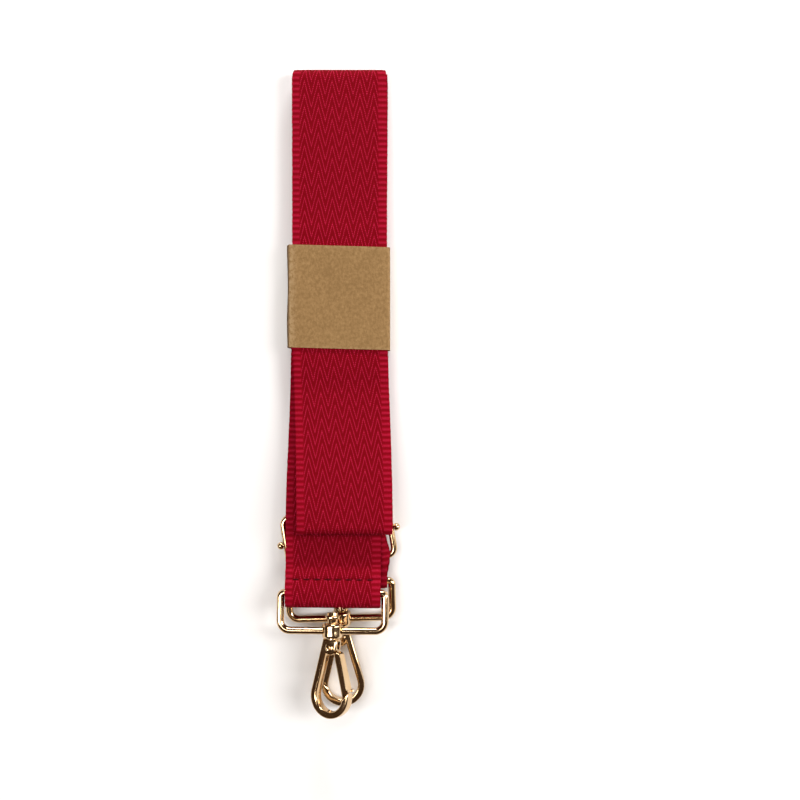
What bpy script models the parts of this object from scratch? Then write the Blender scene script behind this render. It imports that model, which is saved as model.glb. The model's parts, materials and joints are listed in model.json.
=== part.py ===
"""A crossbody strap for a phone, folded flat for sale and held by a card band.

One webbing ribbon lies doubled and folded in three. Its two ends carry rectangular rings with swivel
snap hooks, and a slider with a centre bar sets its length. Metres, +Z up, lying on the plane z = 0,
with the hooks towards -Y.
"""

import math

import bmesh
import bpy
from mathutils import Vector

CLEARANCE = 0.0003

WEBBING_WIDTH = 0.038
WEBBING_THICK = 0.0013
TOP_FOLD_Y = 0.1299
BOTTOM_FOLD_Y = -0.0569
MIDDLE_BEND_INSET = 0.012
FOLD_WIDTH = 0.965
STATION_STEP = 0.007
WEDGE_LENGTH = 0.060
SEWN_TAIL = 0.0075

BAND_LENGTH = 0.0410
BAND_WALL = 0.0005
BAND_CENTRE_Y = 0.0376
BAND_SLANT = -0.028
BAND_CORNER = 0.0012
BAND_BULGE = 0.0006
BAND_BULGE_LEVEL = 0.45
BAND_BULGE_ROUNDING = 0.0024
BAND_CREASE_ROUNDING = 0.0006
BAND_SIDE_ROOM = 0.0006

SLIDER_WIRE = 0.0026
SLIDER_HEIGHT = 0.0242
SLIDER_SIDE_ROOM = 0.0008
SLIDER_CORNER = 0.0030
SLIDER_CENTRE = (0.0, -0.0585)
SLIDER_TURN = math.radians(9.4)
SLIDER_PIN = 0.0016
SLIDER_PIN_PLAY = 0.0002
SLIDER_BALL = 0.0031
SLIDER_BALL_FLAT = math.radians(60)
SLIDER_BALL_END = math.radians(165)
SLIDER_BALL_SEAT = 0.00015
SLIDER_RUN_DOWN = 0.0175

RING_WIRE = 0.0030
RING_REACH = 0.0148
RING_NEAR_CORNER = 0.0016
RING_FAR_CORNER = 0.0039
COLLAR_DIAMETER = 0.0082
COLLAR_LENGTH = 0.0056
COLLAR_ROUNDING = 0.0008

POST_DIAMETER = 0.0040
POST_HEAD_DIAMETER = 0.0060
POST_HEAD_STEP = 0.0012
POST_CAP_DIAMETER = 0.0044
POST_CAP_STEP = 0.0014
POST_ROOT = 0.0020
POST_PLAY = 0.0016

HOOK_LENGTH = 0.0310
HOOK_WIDTH = 0.0174
HOOK_THICK = 0.0042
HOOK_LIMB = 0.0027
HOOK_SHOULDER = 0.0064
HOOK_EDGE = 0.0006
RIVET_DROP = 0.0034
KNUCKLE_RADIUS = 0.0029
RIVET_DIAMETER = 0.0020
RIVET_HEAD_DIAMETER = 0.0034
RIVET_FLAT_DIAMETER = 0.0026
RIVET_HEAD_HEIGHT = 0.0004
GATE_TAB_THICK = 0.0013
GATE_EYE = 0.0020
GATE_EYE_START = math.radians(50)
GATE_EYE_END = math.radians(330)
GATE_TAB_ANGLE = math.radians(33)
GATE_TOP_ANGLE = math.radians(25)
GATE_TIP_OUTER_GAP = 0.00048
GATE_TIP_INNER_GAP = 0.0006
RIVET_SEAT = 0.00015
NOSE_OUTER_ANGLE = math.radians(-11.0)
NOSE_INNER_ANGLE = math.radians(11.0)

FRONT_LEAD = 0.0035
FRONT_RISE = 0.0064
FRONT_OFFSET = 0.0012
FRONT_SLACK = 0.0028

LOOP_STEP = math.radians(20)
TIGHT_STEP = math.radians(30)
WIRE_SIDES = 12

# Each end of the strap: where its ring's middle is across the strap, how far the ring is turned in
# plan, how far its hook is rolled about its own length and drawn out of the collar, and on which side
# its gate opens.
ENDS = {
    "front": {
        "across": -0.0019,
        "turn": math.radians(-0.6),
        "roll": math.radians(-30),
        "drawn": 0.0,
        "gate_side": 1,
    },
    "rear": {
        "across": 0.00065,
        "turn": math.radians(1.5),
        "roll": 0.0,
        "drawn": POST_PLAY,
        "gate_side": -1,
    },
}

# Each flat run of the webbing, from the plane up: its level in the stack and how far its middle lies
# to the right, at the top fold, in the card band and at the lower end.
RUNS = {
    "rear_first": {"level": 0, "top": 0.0009, "band": 0.0004, "low": -0.0012},
    "front_first": {"level": 1, "top": 0.0008, "band": -0.0001, "low": -0.0019},
    "rear_third": {"level": 2, "top": 0.0006, "band": 0.0006, "low": 0.0027},
    "front_third": {"level": 3, "top": 0.0006, "band": 0.0005, "low": 0.0027},
    "front_second": {"level": 4, "top": 0.0006, "band": 0.0006, "low": 0.0029},
    "rear_second": {"level": 5, "top": 0.0005, "band": 0.0007, "low": 0.0030},
}

# The free end behind the slider's bar: how far back it reaches, in bar loop radii, and how far it has
# come down from its layer towards the bar.
SLIDER_TAIL = (
    {"back": 3.9, "lowered": 0.0},
    {"back": 2.6, "lowered": 0.02},
    {"back": 1.85, "lowered": 0.16},
    {"back": 1.35, "lowered": 0.42},
)

# The sewn front end: how far each section is from the free end towards the ring's bar, and how far it
# has risen to the top of the ring's loop. The second row is where the stitches are.
SEWN_TOP = (
    {"to_bar": 0.0, "risen": 0.46},
    {"to_bar": 0.27, "risen": 0.62},
    {"to_bar": 0.66, "risen": 0.90},
)
SEWN_RETURN = {"to_bar": 0.62, "lowered": 0.75}

# Turns of the webbing round the slider, in degrees: its free end round the middle bar, then the strap
# over the outer bars, measured from their tops.
PIN_WRAP = (-190, 60)
BAR_WRAP_TURN = 39
RUN_DOWN_TURN = 30

# How far the strap has come from the slider to the rear ring where it starts to turn with the ring
RING_ENTRY = 0.42

COLOURS = {
    "webbing": {"colour": (0.30, 0.004, 0.022, 1.0), "roughness": 0.85, "metallic": 0.0},
    "card": {"colour": (0.39, 0.235, 0.105, 1.0), "roughness": 0.9, "metallic": 0.0},
    "gold": {"colour": (0.83, 0.62, 0.38, 1.0), "roughness": 0.15, "metallic": 1.0},
}

# Sizes that follow from the ones above
pitch = WEBBING_THICK + CLEARANCE
half_width = WEBBING_WIDTH / 2
bed = WEBBING_THICK / 2
pin_loop = SLIDER_PIN / 2 + CLEARANCE + bed
bar_wrap = SLIDER_WIRE / 2 + CLEARANCE + bed
ring_loop = RING_WIRE / 2 + CLEARANCE + bed
slider_z = 2 * pitch + SLIDER_WIRE / 2
slider_reach = (SLIDER_HEIGHT - SLIDER_WIRE) / 2
slider_slope = math.tan(SLIDER_TURN)
near_bar_y = SLIDER_CENTRE[1] - slider_reach / math.cos(SLIDER_TURN)
far_bar_y = SLIDER_CENTRE[1] + slider_reach / math.cos(SLIDER_TURN)
rear_slope = math.tan(ENDS["rear"]["turn"])
front_slope = math.tan(ENDS["front"]["turn"])
ring_to_bar = ring_loop + bar_wrap + (slider_slope - rear_slope) * half_width
ring_width = WEBBING_WIDTH + 2 * CLEARANCE + RING_WIRE
neck = COLLAR_LENGTH / 2 + CLEARANCE
hook_radius = HOOK_WIDTH / 2
rear_pitch = -math.asin((COLLAR_DIAMETER - HOOK_THICK) / 2 / (neck + POST_PLAY + HOOK_LENGTH))
collar_dip = (COLLAR_LENGTH / 2 - COLLAR_ROUNDING) * math.sin(-rear_pitch)
rear_bar_z = COLLAR_DIAMETER / 2 + collar_dip - RING_REACH * math.sin(rear_pitch)
rear_bar = (near_bar_y - ring_to_bar, rear_bar_z)
front_bar = (rear_bar[0] - FRONT_LEAD, rear_bar[1] + FRONT_RISE)
front_collar_z = COLLAR_DIAMETER + POST_HEAD_DIAMETER / 2 + CLEARANCE + FRONT_OFFSET
front_pitch = math.asin((front_collar_z - front_bar[1]) / RING_REACH)
slider_top_z = 2 * slider_z - bed
over_slider_z = slider_top_z + pitch
fold_rise = over_slider_z + pitch - (2 * pitch + bed)
top_fold = (TOP_FOLD_Y - 5 * pitch / 2 - bed, 5 * pitch / 2 + bed)
bottom_fold = (BOTTOM_FOLD_Y + 3 * pitch / 2 + bed, fold_rise + 7 * pitch / 2 + bed)
band_lift = BAND_WALL + CLEARANCE


def clear_scene():
    for old in list(bpy.data.objects):
        bpy.data.objects.remove(old)


def material(name):
    look = bpy.data.materials.new(name)
    look.use_nodes = True
    shader = look.node_tree.nodes["Principled BSDF"]
    shader.inputs["Base Color"].default_value = COLOURS[name]["colour"]
    shader.inputs["Roughness"].default_value = COLOURS[name]["roughness"]
    shader.inputs["Metallic"].default_value = COLOURS[name]["metallic"]
    return look


def add_object(name, mesh_data, look, parent=None):
    bmesh.ops.recalc_face_normals(mesh_data, faces=mesh_data.faces)
    mesh = bpy.data.meshes.new(name)
    mesh_data.to_mesh(mesh)
    mesh_data.free()
    mesh.shade_smooth()
    mesh.set_sharp_from_angle(angle=math.radians(35))
    piece = bpy.data.objects.new(name, mesh)
    bpy.context.scene.collection.objects.link(piece)
    if look:
        mesh.materials.append(look)
    if parent:
        piece.parent = parent
    return piece


def add_empty(name, place, turn=(0, 0, 0), parent=None):
    empty = bpy.data.objects.new(name, None)
    bpy.context.scene.collection.objects.link(empty)
    empty.location = place
    empty.rotation_euler = turn
    empty.parent = parent
    return empty


def cut(piece, cutter, operation="DIFFERENCE"):
    change = piece.modifiers.new(cutter.name, "BOOLEAN")
    change.operation = operation
    change.solver = "EXACT"
    change.object = cutter
    cutter.hide_render = True
    cutter.display_type = "WIRE"


def smooth_step(share):
    share = min(max(share, 0.0), 1.0)
    return share * share * (3 - 2 * share)


def blend(start, end, share):
    return start + (end - start) * share


def arc(centre, radius, start, end, step=LOOP_STEP):
    """Points (y, z) round a centre in the side view, angles from +Y towards +Z."""
    count = max(2, math.ceil(abs(math.radians(end - start)) / step))
    angles = [math.radians(blend(start, end, i / count)) for i in range(count + 1)]
    return [(centre[0] + radius * math.cos(a), centre[1] + radius * math.sin(a)) for a in angles]


def lift(y):
    """How far the card's wall under the stack raises it at y."""
    past_card = abs(y - BAND_CENTRE_Y) - BAND_LENGTH / 2 - STATION_STEP
    return band_lift * smooth_step(1 - past_card / STATION_STEP)


def run_height(run, y):
    level = RUNS[run]["level"]
    height = bed + level * pitch + lift(y)
    if level == 1:
        rise = over_slider_z - pitch - bed
        start = bottom_fold[0] + WEDGE_LENGTH - STATION_STEP
        height += rise * smooth_step((start - y) / (WEDGE_LENGTH - STATION_STEP))
    if level > 1:
        height += fold_rise * smooth_step((bottom_fold[0] + WEDGE_LENGTH - y) / WEDGE_LENGTH)
    return height


def run_shift(run, y):
    """How far to the right the run's middle lies at y."""
    row = RUNS[run]
    if y > BAND_CENTRE_Y:
        return blend(row["band"], row["top"], (y - BAND_CENTRE_Y) / (top_fold[0] - BAND_CENTRE_Y))
    share = smooth_step((BAND_CENTRE_Y - y) / (BAND_CENTRE_Y - bottom_fold[0]))
    return blend(row["band"], row["low"], share)


def stations(low, high):
    """Places along Y, the same for each run, between two ends that they keep a little way from."""
    count = round((top_fold[0] - bottom_fold[0]) / STATION_STEP)
    places = [blend(bottom_fold[0], top_fold[0], i / count) for i in range(count + 1)]
    return [y for y in places if low + STATION_STEP / 3 < y < high - STATION_STEP / 3]


def webbing_rows():
    """Sections along the webbing: its middle (y, z), its shift to the right, its slant and its width."""
    rows = []

    def add(points, shift, slant=(0.0, 0.0), width=(1.0, 1.0)):
        last = max(1, len(points) - 1)
        for i, (y, z) in enumerate(points):
            share = i / last
            rows.append((y, z, blend(*shift, share), blend(*slant, share), blend(*width, share)))

    def run(name, places):
        for y in places:
            rows.append((y, run_height(name, y), run_shift(name, y), 0.0, 1.0))

    along = (slider_slope, slider_slope)
    at_pin = (SLIDER_CENTRE[0], SLIDER_CENTRE[0])
    ring_at = ENDS["rear"]["across"]
    bar_shift = slider_reach * math.sin(SLIDER_TURN)
    near_shift = (SLIDER_CENTRE[0] + bar_shift, SLIDER_CENTRE[0] + bar_shift)
    far_shift = (SLIDER_CENTRE[0] - bar_shift, SLIDER_CENTRE[0] - bar_shift)
    pin = (SLIDER_CENTRE[1], slider_z)

    tail_top = slider_top_z - pitch
    tail = [
        (pin[0] - row["back"] * pin_loop, blend(tail_top, slider_z, row["lowered"])) for row in SLIDER_TAIL
    ]
    add(tail, (blend(at_pin[0], near_shift[0], 0.5), at_pin[0]), along)
    add(arc(pin, pin_loop, *PIN_WRAP), at_pin, along)
    off_pin = (pin[0] - 2 * pin_loop, slider_top_z)
    add([off_pin, (near_bar_y, slider_top_z)], (at_pin[0], near_shift[0]), along)
    entry = (
        blend(near_bar_y, rear_bar[0], RING_ENTRY),
        blend(slider_top_z, rear_bar[1] + ring_loop, RING_ENTRY),
    )
    entry_slope = blend(slider_slope, rear_slope, RING_ENTRY)
    add([entry], (ring_at, ring_at), (entry_slope, entry_slope))
    add(arc(rear_bar, ring_loop, 90, 270 + BAR_WRAP_TURN), (ring_at, ring_at), (rear_slope, rear_slope))
    wrap = (90 + BAR_WRAP_TURN, 90 - BAR_WRAP_TURN)
    add(arc((near_bar_y, slider_z), bar_wrap, *wrap), near_shift, along)
    add(arc(pin, pin_loop + pitch, -wrap[0], -wrap[1]), at_pin, along)
    leave = arc((far_bar_y, slider_z), bar_wrap, wrap[0], 90 - RUN_DOWN_TURN)
    add(leave, far_shift, along)

    settle = far_bar_y + SLIDER_RUN_DOWN
    shares = (1 / 3, 2 / 3)
    down = [(blend(leave[-1][0], settle, s), blend(leave[-1][1], bed, smooth_step(s))) for s in shares]
    low_shift = RUNS["rear_first"]["low"]
    add(down, (low_shift, low_shift), (slider_slope * shares[1], slider_slope * shares[0]))
    run("rear_first", stations(settle, top_fold[0]))
    outer = (RUNS["rear_first"]["top"], RUNS["rear_second"]["top"])
    add(arc(top_fold, 5 * pitch / 2, -90, 0), outer, width=(1.0, FOLD_WIDTH))
    add(arc(top_fold, 5 * pitch / 2, 0, 90)[1:], (outer[1], outer[1]), width=(FOLD_WIDTH, 1.0))
    run("rear_second", reversed(stations(bottom_fold[0], top_fold[0])))
    low = (RUNS["rear_second"]["low"], RUNS["rear_third"]["low"])
    add(arc(bottom_fold, 3 * pitch / 2, 90, 270), low)
    bend = (top_fold[0] - MIDDLE_BEND_INSET, bed + 5 * pitch / 2)
    run("rear_third", stations(bottom_fold[0], bend[0]))
    inside = (RUNS["rear_third"]["top"], RUNS["front_third"]["top"])
    add(arc(bend, pitch / 2, -90, 90, TIGHT_STEP), inside)
    run("front_third", reversed(stations(bottom_fold[0], bend[0])))
    tuck = (RUNS["front_third"]["low"], RUNS["front_second"]["low"])
    add(arc(bottom_fold, pitch / 2, -90, -270, TIGHT_STEP), tuck)
    run("front_second", stations(bottom_fold[0], top_fold[0]))
    inner = (RUNS["front_second"]["top"], RUNS["front_first"]["top"])
    add(arc(top_fold, 3 * pitch / 2, 90, -90), inner)
    run("front_first", reversed(stations(bottom_fold[0], top_fold[0])))

    front_at = ENDS["front"]["across"]
    to_front = (RUNS["front_first"]["low"], front_at)
    loop_top = front_bar[1] + ring_loop
    tail_end = front_bar[0] + SEWN_TAIL
    sewn = [
        (blend(tail_end, front_bar[0], row["to_bar"]), blend(over_slider_z, loop_top, row["risen"]))
        for row in SEWN_TOP
    ]
    over = [(pin[0], over_slider_z), (near_bar_y, over_slider_z), *sewn, (front_bar[0], loop_top)]
    add(over, to_front, (0.0, front_slope))
    loop_centre = (front_bar[0] - FRONT_SLACK, front_bar[1])
    add(arc(loop_centre, ring_loop, 90, 270), (front_at, front_at), (front_slope, front_slope))
    sewn_pitch = pitch + CLEARANCE
    back = (
        blend(tail_end, front_bar[0], SEWN_RETURN["to_bar"]),
        blend(sewn[1][1] - sewn_pitch, front_bar[1] - ring_loop, SEWN_RETURN["lowered"]),
    )
    under = [(front_bar[0], front_bar[1] - ring_loop), back]
    under += [(y, z - sewn_pitch) for y, z in reversed(sewn[:2])]
    add(under, (front_at, front_at), (front_slope, 0.0))
    return rows


def side_normals(rows):
    """The direction across the thickness at each section, with the mitre that keeps the thickness."""
    middles = [Vector((y, z)) for y, z, *_ in rows]
    normals = []
    for i, here in enumerate(middles):
        before = (here - middles[max(i - 1, 0)]) if i else middles[1] - here
        after = (middles[min(i + 1, len(rows) - 1)] - here) if i < len(rows) - 1 else before
        a = Vector((-before.y, before.x)).normalized()
        b = Vector((-after.y, after.x)).normalized()
        mitre = (a + b).normalized()
        normals.append(mitre / max(mitre.dot(a), 0.5))
    return normals


def build_webbing(look):
    rows = webbing_rows()
    mesh = bmesh.new()
    rings = []
    for row, normal in zip(rows, side_normals(rows)):
        y, z, shift, slant, width = row
        ring = []
        for side, across in ((1, -1), (1, 0), (1, 1), (-1, 1), (-1, 0), (-1, -1)):
            x = shift + across * half_width * width
            offset = normal * side * bed
            ring.append(mesh.verts.new((x, y + offset.x + slant * (x - shift), z + offset.y)))
        rings.append(ring)
    for ring, following in zip(rings, rings[1:]):
        for i in range(6):
            j = (i + 1) % 6
            mesh.faces.new((ring[i], ring[j], following[j], following[i]))
    mesh.faces.new(rings[0])
    mesh.faces.new(reversed(rings[-1]))
    return add_object("webbing", mesh, look)


def rounded(corners, radii, count=4):
    """A closed outline through corners, each rounded to its own radius."""
    points = []
    for i, corner in enumerate(corners):
        here = Vector(corner)
        to_last = (Vector(corners[i - 1]) - here).normalized()
        to_next = (Vector(corners[(i + 1) % len(corners)]) - here).normalized()
        half = to_last.angle(to_next) / 2
        middle = here + (to_last + to_next).normalized() * radii[i] / math.sin(half)
        first = here + to_last * radii[i] / math.tan(half) - middle
        turn = first.angle_signed(here + to_next * radii[i] / math.tan(half) - middle)
        for k in range(count + 1):
            swing = -turn * k / count
            cosine, sine = math.cos(swing), math.sin(swing)
            spoke = Vector((first.x * cosine - first.y * sine, first.x * sine + first.y * cosine))
            points.append(middle + spoke)
    return points


def inset(points, distance):
    """The same counter-clockwise outline, moved inwards."""
    moved = []
    for i, here in enumerate(points):
        a = (here - points[i - 1]).normalized()
        b = (points[(i + 1) % len(points)] - here).normalized()
        left = Vector((-a.y - b.y, a.x + b.x)).normalized()
        moved.append(here + left * distance / max(left.dot(Vector((-a.y, a.x))), 0.5))
    return moved


def build_card_band(look):
    top = bed + 5 * pitch + band_lift + bed + CLEARANCE + BAND_WALL
    shifts = [row["band"] for row in RUNS.values()]
    edge = half_width + BAND_SIDE_ROOM + BAND_WALL
    left = min(shifts) - edge
    crease = RUNS["rear_second"]["band"] - edge
    right = max(shifts) + edge
    bulge = (left - BAND_BULGE, top * BAND_BULGE_LEVEL)
    corners = ((left, 0), (right, 0), (right, top), (crease, top), bulge)
    radii = (BAND_CORNER, BAND_CORNER, BAND_CORNER, BAND_CREASE_ROUNDING, BAND_BULGE_ROUNDING)
    outer = rounded(corners, radii, 3)
    inner = inset(outer, BAND_WALL)
    mesh = bmesh.new()
    loops = []
    for end in (-1, 1):
        for outline in (outer, inner):
            y = BAND_CENTRE_Y + end * BAND_LENGTH / 2
            loops.append([mesh.verts.new((p.x, y + BAND_SLANT * p.x, p.y)) for p in outline])
    for a, b in ((0, 2), (1, 3), (0, 1), (2, 3)):
        for i in range(len(outer)):
            j = (i + 1) % len(outer)
            mesh.faces.new((loops[a][i], loops[a][j], loops[b][j], loops[b][i]))
    return add_object("card_band", mesh, look)


def wire_loop(mesh, path, radius):
    """A round wire along a closed path in the plane z = 0."""
    rings = []
    for i, here in enumerate(path):
        a = (here - path[i - 1]).normalized()
        b = (path[(i + 1) % len(path)] - here).normalized()
        out = Vector((a.y + b.y, -a.x - b.x)).normalized()
        reach = radius / out.dot(Vector((a.y, -a.x)))
        ring = []
        for k in range(WIRE_SIDES):
            turn = 2 * math.pi * (k + 0.5) / WIRE_SIDES
            side = here + out * reach * math.cos(turn)
            ring.append(mesh.verts.new((side.x, side.y, radius * math.sin(turn))))
        rings.append(ring)
    for i, ring in enumerate(rings):
        following = rings[(i + 1) % len(rings)]
        for k in range(WIRE_SIDES):
            j = (k + 1) % WIRE_SIDES
            mesh.faces.new((ring[k], following[k], following[j], ring[j]))


def turned(mesh, profile, sides=WIRE_SIDES):
    """A solid turned about the Y axis from (radius, y) points."""
    rings = []
    for radius, y in profile:
        turns = [2 * math.pi * (k + 0.5) / sides for k in range(sides)]
        rings.append([mesh.verts.new((radius * math.cos(a), y, radius * math.sin(a))) for a in turns])
    for ring, following in zip(rings, rings[1:]):
        for k in range(sides):
            j = (k + 1) % sides
            mesh.faces.new((ring[k], ring[j], following[j], following[k]))
    mesh.faces.new(rings[0])
    mesh.faces.new(reversed(rings[-1]))


def build_slider(look):
    place = add_empty("slider_axis", (*SLIDER_CENTRE, slider_z), (0, 0, SLIDER_TURN))
    half_x = half_width / math.cos(SLIDER_TURN) + SLIDER_SIDE_ROOM + SLIDER_WIRE / 2
    corners = (
        (-half_x, -slider_reach),
        (half_x, -slider_reach),
        (half_x, slider_reach),
        (-half_x, slider_reach),
    )
    mesh = bmesh.new()
    wire_loop(mesh, rounded(corners, [SLIDER_CORNER] * 4), SLIDER_WIRE / 2)
    frame = add_object("slider_frame", mesh, look, place)
    hole = bmesh.new()
    reach = half_x + SLIDER_WIRE
    hole_radius = SLIDER_PIN / 2 + SLIDER_PIN_PLAY
    turned(hole, ((hole_radius, -reach), (hole_radius, reach)))
    hole_cutter = add_object("slider_hole_cutter", hole, None, place)
    hole_cutter.rotation_euler.z = math.pi / 2
    cut(frame, hole_cutter)

    ball = SLIDER_BALL / 2
    middle = half_x + SLIDER_WIRE / 2 + SLIDER_BALL_SEAT + ball * math.cos(SLIDER_BALL_FLAT)
    turns = [blend(SLIDER_BALL_FLAT, SLIDER_BALL_END, i / 5) for i in range(6)]
    profile = [(ball * math.sin(turn), middle - ball * math.cos(turn)) for turn in turns]
    profile = [(SLIDER_PIN / 2, profile[0][1])] + profile
    mirrored = [(r, -y) for r, y in reversed(profile)]
    mesh = bmesh.new()
    turned(mesh, mirrored + profile)
    bar = add_object("slider_bar", mesh, look, place)
    bar.rotation_euler.z = math.pi / 2


def build_ring(end, look, place):
    half_x = ring_width / 2
    corners = ((-half_x, -RING_REACH), (half_x, -RING_REACH), (half_x, 0), (-half_x, 0))
    far, near = RING_FAR_CORNER, RING_NEAR_CORNER
    mesh = bmesh.new()
    wire_loop(mesh, rounded(corners, (far, far, near, near)), RING_WIRE / 2)
    ring = add_object(f"{end}_ring", mesh, look, place)
    half, radius, soft = COLLAR_LENGTH / 2, COLLAR_DIAMETER / 2, COLLAR_ROUNDING
    mesh = bmesh.new()
    barrel = ((radius - soft, -half), (radius, soft - half), (radius, half - soft), (radius - soft, half))
    turned(mesh, barrel, 16)
    collar = add_object(f"{end}_collar_joined", mesh, None, place)
    collar.location.y = -RING_REACH
    cut(ring, collar, "UNION")
    mesh = bmesh.new()
    bore = POST_DIAMETER / 2 + CLEARANCE
    turned(mesh, ((bore, -COLLAR_LENGTH), (bore, COLLAR_LENGTH)), 16)
    bore_cutter = add_object(f"{end}_bore_cutter", mesh, None, place)
    bore_cutter.location.y = -RING_REACH
    cut(ring, bore_cutter)


def tangent_angle():
    """How far the hook's straight edges lean, so that they meet its round bow without a corner."""
    half_shoulder = HOOK_SHOULDER / 2
    down = HOOK_LENGTH - hook_radius
    return math.atan2(down, half_shoulder) - math.acos(hook_radius / math.hypot(half_shoulder, down))


def bow(radius, start, end, count=None):
    """Points (across, down the hook) round the bow's centre, angles from across towards down."""
    count = count or max(2, math.ceil(abs(end - start) / math.radians(14)))
    centre = HOOK_LENGTH - hook_radius
    angles = [blend(start, end, i / count) for i in range(count + 1)]
    return [Vector((radius * math.cos(a), centre + radius * math.sin(a))) for a in angles]


def limb_meets_circle(side, edge_radius, circle_radius):
    """Where a straight limb edge, edge_radius from the bow's centre, meets a circle round the rivet."""
    lean = tangent_angle()
    normal = Vector((side * math.cos(lean), -math.sin(lean)))
    along = Vector((side * math.sin(lean), math.cos(lean)))
    foot = Vector((0, HOOK_LENGTH - hook_radius)) + normal * edge_radius
    rivet = Vector((0, RIVET_DROP))
    back = (rivet - foot).dot(along)
    off = (rivet - foot).dot(normal)
    return foot + along * (back + math.sqrt(circle_radius**2 - off**2))


def knuckle(radius, start, end, count=6):
    """Points round the rivet, angles from across towards down."""
    angles = [blend(start, end, i / count) for i in range(count + 1)]
    return [Vector((radius * math.cos(a), RIVET_DROP + radius * math.sin(a))) for a in angles]


def angle_at_rivet(point):
    return math.atan2(point.y - RIVET_DROP, point.x)


def hook_outline():
    """The hook's body with its gate to the right: head, left limb, bow and nose."""
    lean = tangent_angle()
    inner = hook_radius - HOOK_LIMB
    shoulder = HOOK_SHOULDER / 2
    points = [Vector((-shoulder, 0))]
    points += bow(hook_radius, math.pi + lean, NOSE_OUTER_ANGLE)
    points += bow(inner, NOSE_INNER_ANGLE, math.pi + lean)
    top_left = limb_meets_circle(-1, inner, KNUCKLE_RADIUS)
    points += knuckle(KNUCKLE_RADIUS, angle_at_rivet(top_left), 0.0)
    points.append(Vector((shoulder, RIVET_DROP / 3)))
    points.append(Vector((shoulder - HOOK_EDGE, 0)))
    return points


def gate_outline():
    """The gate's thick part: the right limb between the knuckle and the nose, clear of both."""
    lean = tangent_angle()
    inner = hook_radius - HOOK_LIMB
    tip_radius = hook_radius - HOOK_LIMB / 2
    hollow = KNUCKLE_RADIUS + CLEARANCE
    down = HOOK_LENGTH - hook_radius - RIVET_DROP
    edge_distance = hook_radius - down * math.sin(lean)
    reach = edge_distance / math.cos(GATE_TOP_ANGLE + lean)
    spoke = Vector((math.cos(GATE_TOP_ANGLE), math.sin(GATE_TOP_ANGLE)))
    points = [Vector((0, RIVET_DROP)) + spoke * reach]
    points += bow(hook_radius, -lean, NOSE_OUTER_ANGLE - GATE_TIP_OUTER_GAP / tip_radius, 1)
    points += bow(inner, NOSE_INNER_ANGLE - GATE_TIP_INNER_GAP / tip_radius, -lean, 2)
    inner_top = limb_meets_circle(1, inner, hollow)
    points += knuckle(hollow, angle_at_rivet(inner_top), GATE_TOP_ANGLE, 4)
    return points


def plate(outline, thick, edge, side=1):
    """A flat piece of an outline in the hook's plane, its long edges softened."""
    mesh = bmesh.new()
    face = mesh.faces.new([mesh.verts.new((side * p.x, -p.y, -thick / 2)) for p in outline])
    grown = bmesh.ops.extrude_face_region(mesh, geom=[face])["geom"]
    raised = [v for v in grown if isinstance(v, bmesh.types.BMVert)]
    bmesh.ops.translate(mesh, verts=raised, vec=(0, 0, thick))
    if edge:
        rims = [e for e in mesh.edges if abs(e.verts[0].co.z - e.verts[1].co.z) < thick / 2]
        bmesh.ops.bevel(mesh, geom=rims, offset=edge, segments=1, profile=0.5, affect="EDGES", material=-1)
    return mesh


def post_profile():
    """The swivel post and its riveted head, as (radius, y) with y = 0 at the hook's shoulders."""
    post, head, cap = POST_DIAMETER / 2, POST_HEAD_DIAMETER / 2, POST_CAP_DIAMETER / 2
    seat = COLLAR_LENGTH + 2 * CLEARANCE + POST_PLAY
    top = seat + POST_HEAD_STEP
    return (
        (post, -POST_ROOT),
        (post, seat),
        (head, seat),
        (head, top - CLEARANCE),
        (head - CLEARANCE, top),
        (cap, top),
        (cap, top + POST_CAP_STEP / 2),
        (cap / 2, top + POST_CAP_STEP),
    )


def build_hook(end, look, ring_place):
    side = ENDS[end]["gate_side"]
    roll = (0, ENDS[end]["roll"], 0)
    shoulder_y = -RING_REACH - neck - ENDS[end]["drawn"]
    place = add_empty(f"{end}_swivel_axis", (0, shoulder_y, 0), roll, ring_place)
    hook = add_object(f"{end}_hook", plate(hook_outline(), HOOK_THICK, HOOK_EDGE, side), look, place)
    mesh = bmesh.new()
    turned(mesh, post_profile())
    post = add_object(f"{end}_post_joined", mesh, None, place)
    cut(hook, post, "UNION")

    gate_place = add_empty(f"{end}_gate_axis", (0, -RIVET_DROP, 0), (0, 0, 0), place)
    slot = bmesh.new()
    bmesh.ops.create_cube(slot, size=1.0)
    left, right = -GATE_EYE - CLEARANCE, KNUCKLE_RADIUS * 2
    down = KNUCKLE_RADIUS + CLEARANCE
    size = (right - left, down - left, GATE_TAB_THICK + 2 * CLEARANCE)
    bmesh.ops.scale(slot, vec=size, verts=slot.verts)
    centre = (side * (left + right) / 2, -(left + down) / 2, 0)
    bmesh.ops.translate(slot, verts=slot.verts, vec=centre)
    cut(hook, add_object(f"{end}_slot_cutter", slot, None, gate_place))
    hole = bmesh.new()
    hole_radius = RIVET_DIAMETER / 2 + CLEARANCE
    turned(hole, ((hole_radius, -HOOK_THICK), (hole_radius, HOOK_THICK)))
    hole_cutter = add_object(f"{end}_rivet_hole_cutter", hole, None, gate_place)
    hole_cutter.rotation_euler.x = math.pi / 2
    cut(hook, hole_cutter)
    build_gate(end, side, look, gate_place, hole_cutter)
    build_rivet(end, look, gate_place)


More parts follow.
